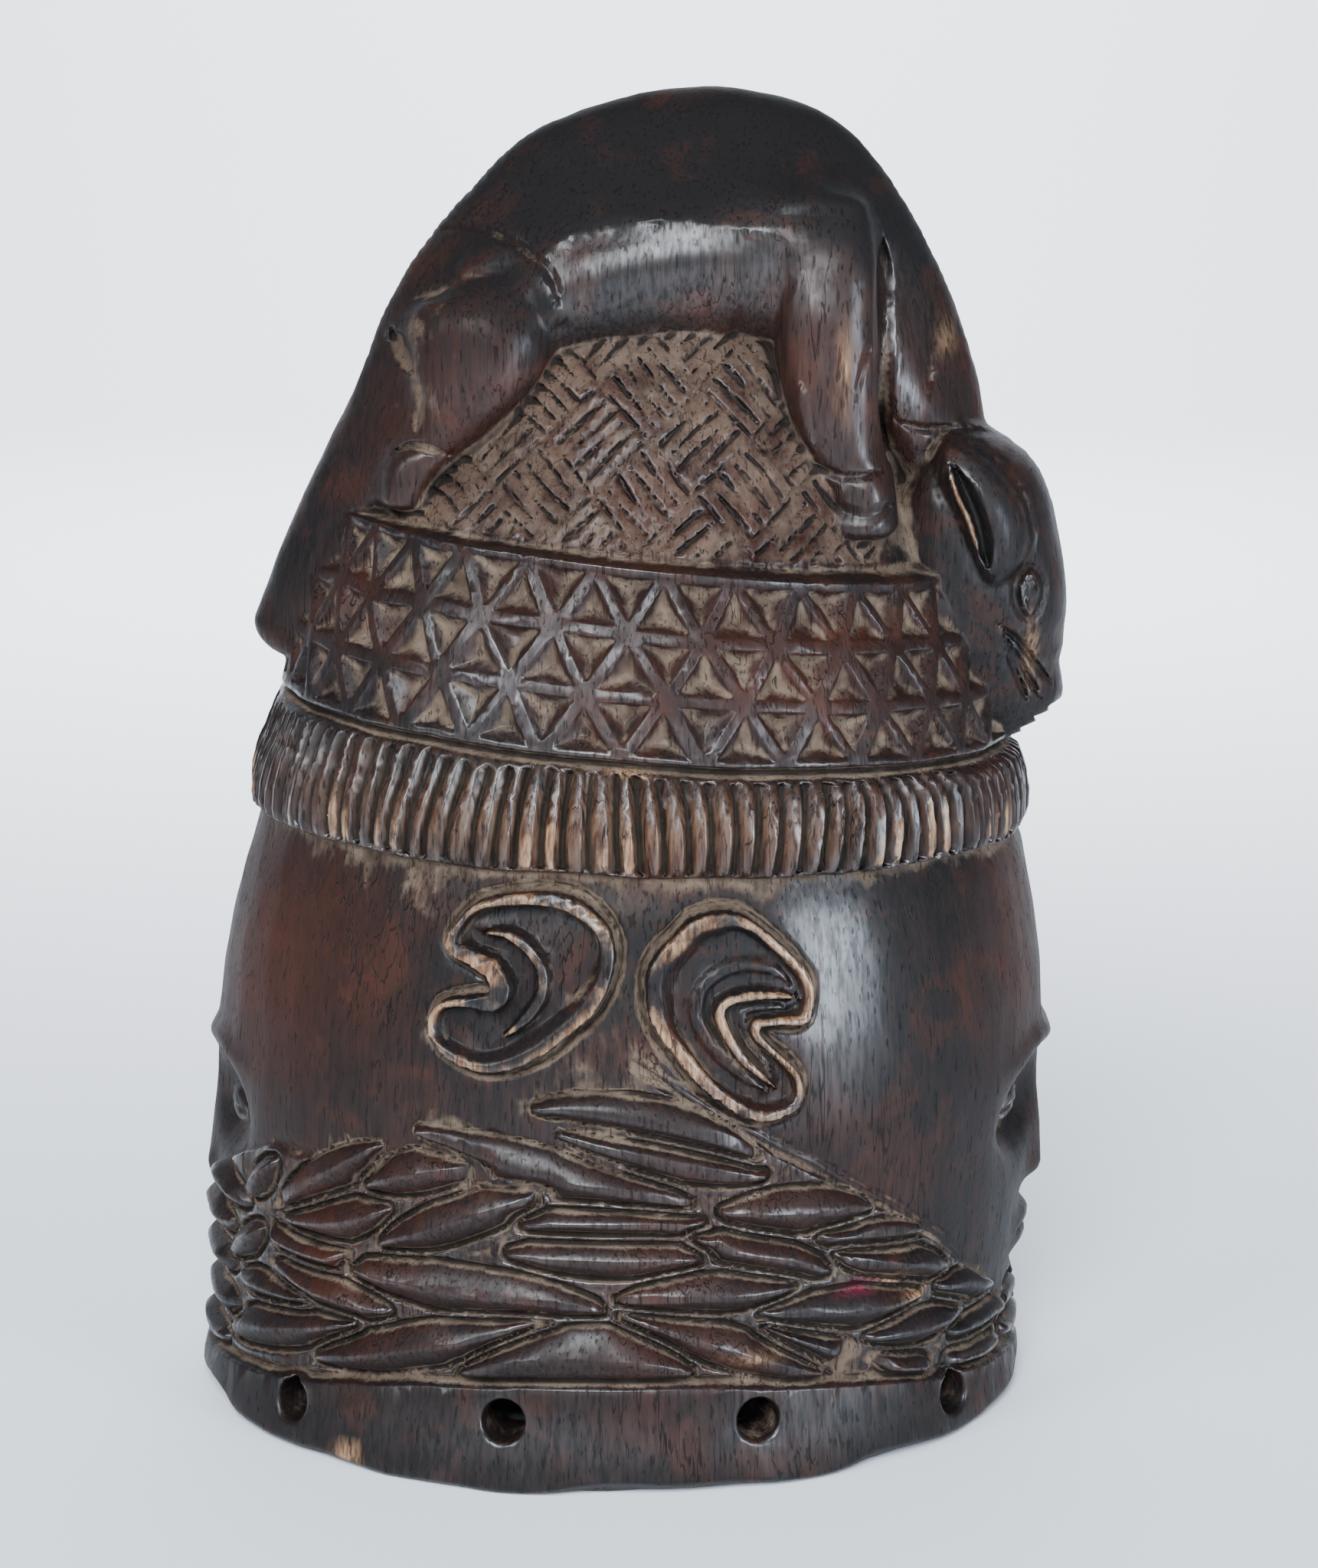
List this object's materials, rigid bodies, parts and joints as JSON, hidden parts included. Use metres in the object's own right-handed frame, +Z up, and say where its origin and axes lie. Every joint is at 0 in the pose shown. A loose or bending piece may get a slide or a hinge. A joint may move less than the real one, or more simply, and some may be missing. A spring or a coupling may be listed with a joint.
{
  "type": "suku helmet mask",
  "caption": "Hollow carved wooden helmet mask with back-to-back faces, a fluted ridge, a chip-carved band and an arched animal crest, standing on its rim.",
  "frame": {"origin": "bottom centre of the whole box, on the surface that the rim stands on", "axes": "+X the way the front face and the animal's head look, +Y to the front face's left, +Z up"},
  "size_m": [0.2794, 0.2388, 0.413],
  "materials": {
    "dark_wood": "dark oiled patina, worn to tan on the edges, with dust in the cuts"
  },
  "bodies": {
    "root": {"mask": "dark_wood"}
  },
  "joints": []
}
